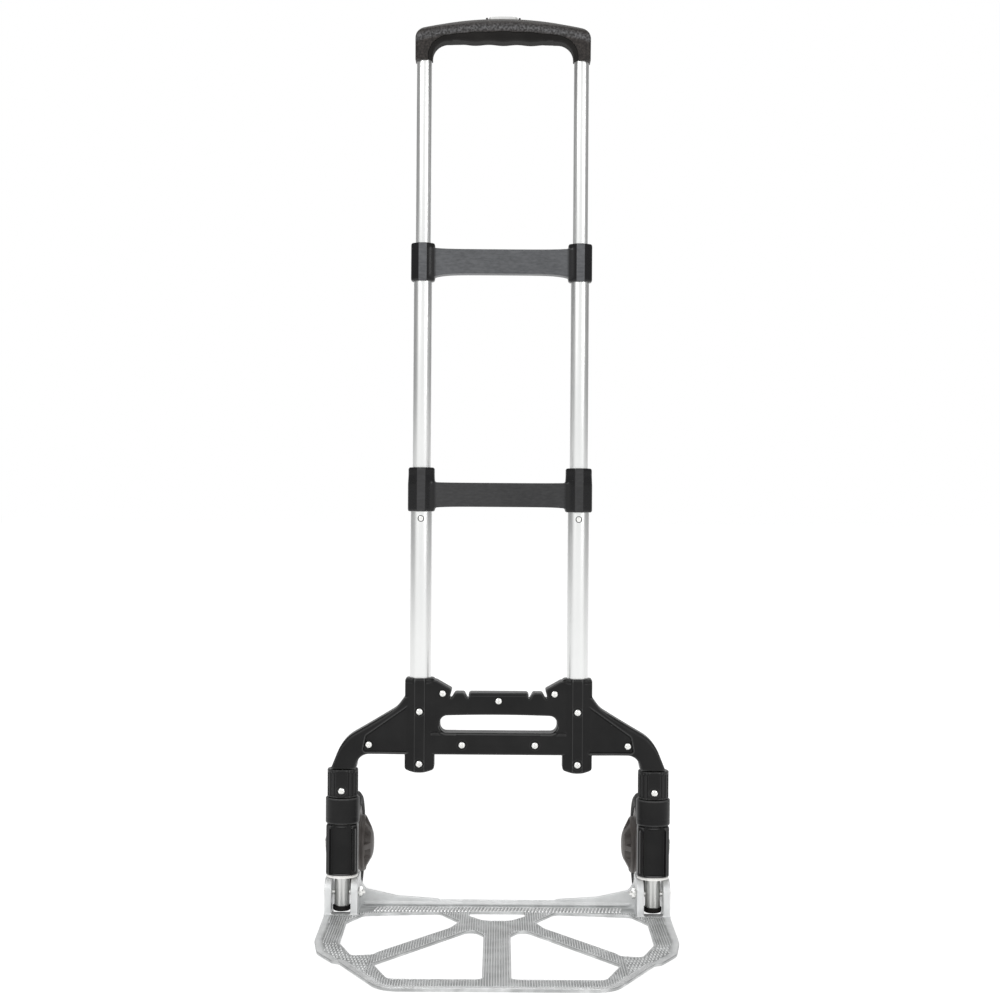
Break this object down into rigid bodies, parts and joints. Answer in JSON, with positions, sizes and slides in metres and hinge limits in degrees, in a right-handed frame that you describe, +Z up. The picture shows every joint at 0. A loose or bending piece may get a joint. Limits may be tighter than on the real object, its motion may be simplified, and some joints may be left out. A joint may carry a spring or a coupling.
{
  "type": "hand truck",
  "caption": "Folding hand truck: telescopic tube handle with push-button release, two-shell frame, swinging wheels and a hinged strapped toe plate.",
  "frame": {"origin": "on the floor under the toe plate's rear band, midway between the legs, in the plane of the telescopic tubes", "axes": "+X to the viewer's right, +Y behind the truck towards the wheels, +Z up along the tubes; left and right are the viewer's"},
  "size_m": [0.4034, 0.435, 0.9987],
  "materials": {
    "black_plastic": "fine satin moulding texture",
    "grey_plastic": "satin dark grey",
    "handle_plastic": "rough warm dark grey",
    "silver_plastic": "silver-white",
    "nylon": "natural white",
    "hub_plastic": "warm grey moulded",
    "tyre_rubber": "matte rubber",
    "tube_aluminium": "satin anodised",
    "cast_aluminium": "cast, ribbed",
    "zinc_steel": "bright zinc",
    "spring_steel": "oiled"
  },
  "bodies": {
    "base": {"frame_front_shell": "black_plastic", "frame_back_shell": "black_plastic", "frame_screw_1": "zinc_steel", "frame_screw_2": "zinc_steel", "frame_screw_3": "zinc_steel", "frame_screw_4": "zinc_steel", "frame_screw_5": "zinc_steel", "frame_screw_6": "zinc_steel", "frame_screw_7": "zinc_steel", "frame_screw_8": "zinc_steel", "frame_screw_9": "zinc_steel", "frame_screw_10": "zinc_steel", "frame_screw_11": "zinc_steel", "lower_bridge": "black_plastic", "lower_tube_left": "tube_aluminium", "lower_tube_right": "tube_aluminium", "leg_tube_left": "tube_aluminium", "leg_tube_right": "tube_aluminium", "leg_collar_left": "black_plastic", "leg_collar_right": "black_plastic", "leg_screw_left": "zinc_steel", "leg_screw_right": "zinc_steel"},
    "middle_stage": {"upper_bridge": "grey_plastic", "middle_tube_left": "tube_aluminium", "middle_tube_right": "tube_aluminium", "middle_bush_left": "nylon", "middle_bush_right": "nylon", "middle_latch_left": "spring_steel", "middle_latch_right": "spring_steel"},
    "handle_stage": {"handle_shell": "handle_plastic", "handle_grip": "handle_plastic", "upper_tube_left": "tube_aluminium", "upper_tube_right": "tube_aluminium", "upper_bush_left": "nylon", "upper_bush_right": "nylon", "upper_latch_left": "spring_steel", "upper_latch_right": "spring_steel", "release_spring": "spring_steel"},
    "release": {"release_button": "silver_plastic", "release_yoke": "black_plastic", "push_rod_left": "spring_steel", "push_rod_right": "spring_steel"},
    "toe_plate": {"toe_plate": "cast_aluminium", "pivot_bolt_left": "zinc_steel", "pivot_bolt_right": "zinc_steel", "pivot_nut_left": "zinc_steel", "pivot_nut_right": "zinc_steel"},
    "bracket_left": {"wheel_bracket_left": "black_plastic", "cam_ring_left": "nylon", "swivel_spring_left": "spring_steel", "axle_left": "zinc_steel"},
    "bracket_right": {"wheel_bracket_right": "black_plastic", "cam_ring_right": "nylon", "swivel_spring_right": "spring_steel", "axle_right": "zinc_steel"},
    "wheel_left": {"rim_left": "hub_plastic", "tyre_left": "tyre_rubber"},
    "wheel_right": {"rim_right": "hub_plastic", "tyre_right": "tyre_rubber"}
  },
  "joints": [
    {"name": "middle_slide", "type": "slide", "parent": "base", "child": "middle_stage", "axis": [0, 0, 1], "range_m": [-0.2055, 0], "deforming": ["middle_latch_left", "middle_latch_right"]},
    {"name": "handle_slide", "type": "slide", "parent": "middle_stage", "child": "handle_stage", "axis": [0, 0, 1], "range_m": [-0.2015, 0], "deforming": ["upper_latch_left", "upper_latch_right"]},
    {"name": "release_press", "type": "slide", "parent": "handle_stage", "child": "release", "axis": [0, 0, -1], "range_m": [0, 0.003], "stiffness_N_per_m": 900, "springref_m": -0.004, "deforming": ["release_spring"]},
    {"name": "toe_plate_fold", "type": "hinge", "parent": "base", "child": "toe_plate", "pos_m": [0, 0, 0.0255], "axis": [-1, 0, 0], "range_deg": [0, 90]},
    {"name": "wheel_swing_left", "type": "hinge", "parent": "base", "child": "bracket_left", "pos_m": [-0.1725, 0, 0], "axis": [0, 0, -1], "range_deg": [0, 90]},
    {"name": "wheel_swing_right", "type": "hinge", "parent": "base", "child": "bracket_right", "pos_m": [0.1725, 0, 0], "axis": [0, 0, 1], "range_deg": [0, 90]},
    {"name": "wheel_spin_left", "type": "hinge", "parent": "bracket_left", "child": "wheel_left", "pos_m": [-0.17, 0.095, 0.06], "axis": [1, 0, 0], "continuous": true},
    {"name": "wheel_spin_right", "type": "hinge", "parent": "bracket_right", "child": "wheel_right", "pos_m": [0.17, 0.095, 0.06], "axis": [1, 0, 0], "continuous": true}
  ],
  "couplings": [
    {"joint": "wheel_swing_left", "follows": "toe_plate_fold", "ratio": 1},
    {"joint": "wheel_swing_right", "follows": "toe_plate_fold", "ratio": 1}
  ]
}
